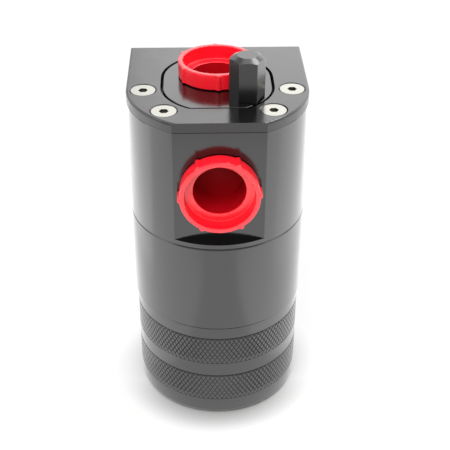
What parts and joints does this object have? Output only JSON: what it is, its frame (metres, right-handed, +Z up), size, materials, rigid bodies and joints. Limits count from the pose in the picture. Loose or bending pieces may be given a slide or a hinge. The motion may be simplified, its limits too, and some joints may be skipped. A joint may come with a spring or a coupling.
{
  "type": "oil catch can",
  "caption": "Black cylindrical oil catch can with a front and a top hose port, both plugged, a hex-headed dipstick, a mounting bracket and a knurled canister that unscrews from below.",
  "frame": {"origin": "centre of the canister's foot", "axes": "+Z up along the can, -Y towards the front port, +Y towards the bracket's leg, +X to the dipstick's side"},
  "size_m": [0.066, 0.071, 0.1465],
  "materials": {
    "black_anodised_aluminium": "satin",
    "bare_aluminium": "satin",
    "stainless_screw": "polished",
    "stainless_rod": "satin",
    "spring_steel": "satin",
    "wire_mesh": "satin",
    "seal_rubber": "matte",
    "red_plastic": "gloss"
  },
  "bodies": {
    "body": {"head": "black_anodised_aluminium", "bracket": "black_anodised_aluminium", "bracket_screws": "stainless_screw", "sleeve": "black_anodised_aluminium", "sleeve_seal": "seal_rubber", "inlet_tube": "bare_aluminium", "lower_baffle": "bare_aluminium", "condenser_mesh": "wire_mesh", "upper_baffle": "bare_aluminium", "baffle_ring": "spring_steel"},
    "canister_ring": {"canister_seal": "seal_rubber"},
    "canister": {"canister": "black_anodised_aluminium"},
    "dipstick_ring": {"dipstick_seal": "seal_rubber"},
    "dipstick": {"dipstick_knob": "black_anodised_aluminium", "dipstick_rod": "stainless_rod"},
    "front_plug": {"front_port_plug": "red_plastic"},
    "top_plug": {"top_port_plug": "red_plastic"}
  },
  "joints": [
    {"name": "canister_drop", "type": "slide", "parent": "body", "child": "canister_ring", "axis": [0, 0, -1], "range_m": [0, 0.0101]},
    {"name": "canister_turn", "type": "hinge", "parent": "canister_ring", "child": "canister", "pos_m": [0, 0, 0], "axis": [0, 0, -1], "range_deg": [0, 1800]},
    {"name": "dipstick_rise", "type": "slide", "parent": "body", "child": "dipstick_ring", "axis": [0, 0, 1], "range_m": [0, 0.01]},
    {"name": "dipstick_turn", "type": "hinge", "parent": "dipstick_ring", "child": "dipstick", "pos_m": [0.01005, -0.01005, 0.13], "axis": [0, 0, 1], "range_deg": [0, 2890]},
    {"name": "front_plug_pull", "type": "slide", "parent": "body", "child": "front_plug", "axis": [0, -1, 0], "range_m": [0, 0.013]},
    {"name": "top_plug_pull", "type": "slide", "parent": "body", "child": "top_plug", "axis": [0, 0, 1], "range_m": [0, 0.013]}
  ],
  "couplings": [
    {"joint": "canister_drop", "follows": "canister_turn", "m_per_rad": 0.00031831},
    {"joint": "dipstick_turn", "follows": "dipstick_rise", "rad_per_m": 5026.5}
  ]
}
